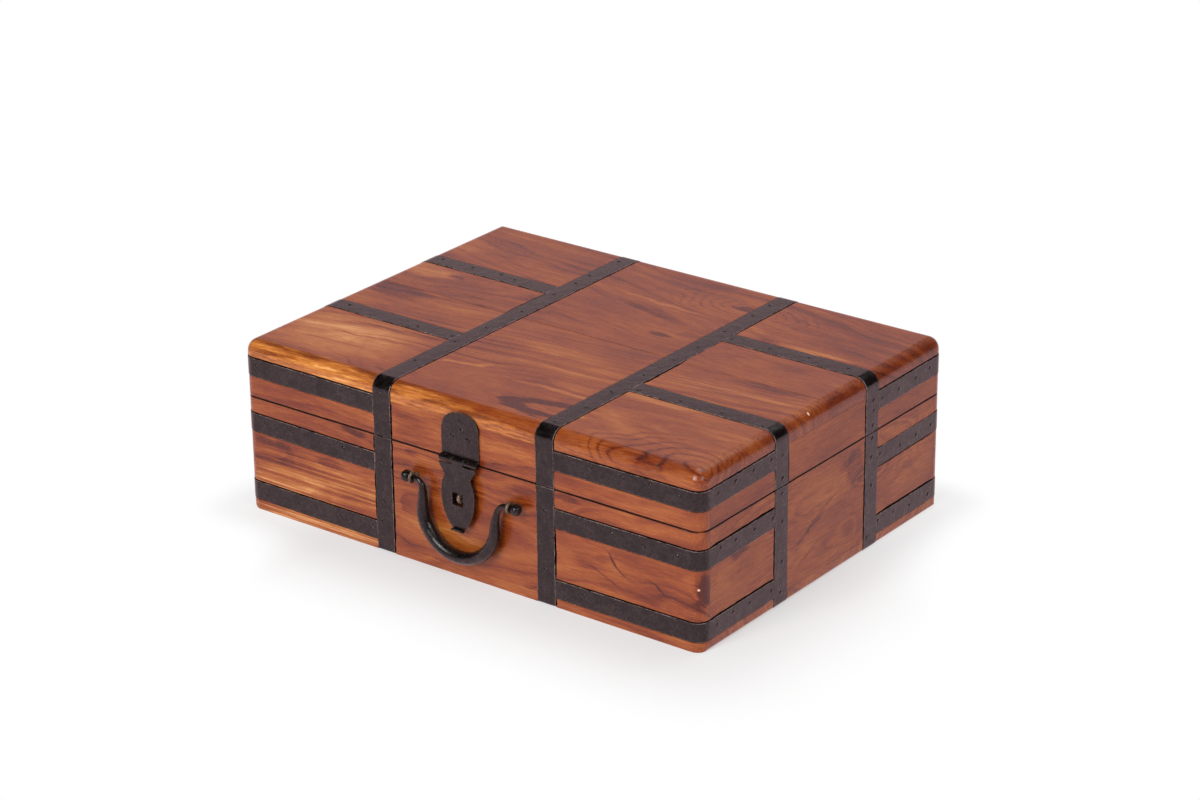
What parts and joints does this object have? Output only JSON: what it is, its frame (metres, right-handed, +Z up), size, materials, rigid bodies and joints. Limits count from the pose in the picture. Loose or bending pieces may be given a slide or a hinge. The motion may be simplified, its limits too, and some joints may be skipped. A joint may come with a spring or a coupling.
{
  "type": "ditty box",
  "caption": "Low hardwood box with a hinged lid, let-in black iron straps and corner bands, a front hasp on a staple and a forged drop handle.",
  "frame": {"origin": "centre of the flat underside", "axes": "+X along the length, to the right when the hasp faces you; +Y from the front to the back; +Z up"},
  "size_m": [0.4006, 0.3126, 0.1307],
  "materials": {
    "lid_plank_wood": "varnished reddish hardwood planks, grain along the length",
    "lid_rail_wood": "varnished reddish hardwood rails",
    "base_wood": "varnished reddish hardwood boards",
    "strap_iron": "blackened strip iron, satin",
    "hasp_iron": "blackened plate, satin, worn at the edges",
    "forged_iron": "blackened forged bar, glossy where handled",
    "hinge_iron": "blackened hinge iron"
  },
  "bodies": {
    "base": {"base_back_board": "base_wood", "base_back_left_strap": "strap_iron", "base_back_right_strap": "strap_iron", "base_floor": "base_wood", "base_front_board": "base_wood", "base_front_left_strap": "strap_iron", "base_front_right_strap": "strap_iron", "base_left_back_strap": "strap_iron", "base_left_board": "base_wood", "base_left_front_strap": "strap_iron", "base_lower_corner_band_back_left": "strap_iron", "base_lower_corner_band_back_right": "strap_iron", "base_lower_corner_band_front_left": "strap_iron", "base_lower_corner_band_front_right": "strap_iron", "base_right_back_strap": "strap_iron", "base_right_board": "base_wood", "base_right_front_strap": "strap_iron", "base_upper_corner_band_back_left": "strap_iron", "base_upper_corner_band_back_right": "strap_iron", "base_upper_corner_band_front_left": "strap_iron", "base_upper_corner_band_front_right": "strap_iron", "handle_eye_left": "forged_iron", "handle_eye_right": "forged_iron", "hasp_staple": "hasp_iron", "hinge_base_screws": "hinge_iron", "hinge_left_base_leaf": "hinge_iron", "hinge_left_pin": "hinge_iron", "hinge_right_base_leaf": "hinge_iron", "hinge_right_pin": "hinge_iron"},
    "lid": {"hasp_pin": "hasp_iron", "hasp_plate": "hasp_iron", "hasp_rivets": "hasp_iron", "hinge_left_lid_leaf": "hinge_iron", "hinge_lid_screws": "hinge_iron", "hinge_right_lid_leaf": "hinge_iron", "lid_back_rail": "lid_rail_wood", "lid_corner_band_back_left": "strap_iron", "lid_corner_band_back_right": "strap_iron", "lid_corner_band_front_left": "strap_iron", "lid_corner_band_front_right": "strap_iron", "lid_front_rail": "lid_rail_wood", "lid_left_back_cross_strap": "strap_iron", "lid_left_front_cross_strap": "strap_iron", "lid_left_long_strap": "strap_iron", "lid_left_rail": "lid_rail_wood", "lid_right_back_cross_strap": "strap_iron", "lid_right_front_cross_strap": "strap_iron", "lid_right_long_strap": "strap_iron", "lid_right_rail": "lid_rail_wood", "lid_top_back_plank": "lid_plank_wood", "lid_top_front_plank": "lid_plank_wood"},
    "hasp": {"hasp_leaf": "hasp_iron"},
    "handle": {"handle": "forged_iron"}
  },
  "joints": [
    {"name": "lid_hinge", "type": "hinge", "parent": "base", "child": "lid", "pos_m": [0, 0.1509, 0.0879], "axis": [-1, 0, 0], "range_deg": [0, 180]},
    {"name": "hasp_hinge", "type": "hinge", "parent": "lid", "child": "hasp", "pos_m": [-0.0008, -0.1503, 0.0886], "axis": [-1, 0, 0], "range_deg": [0, 130]},
    {"name": "handle_swing", "type": "hinge", "parent": "base", "child": "handle", "pos_m": [0.0032, -0.154, 0.0676], "axis": [-1, 0, 0], "range_deg": [0, 170]}
  ]
}
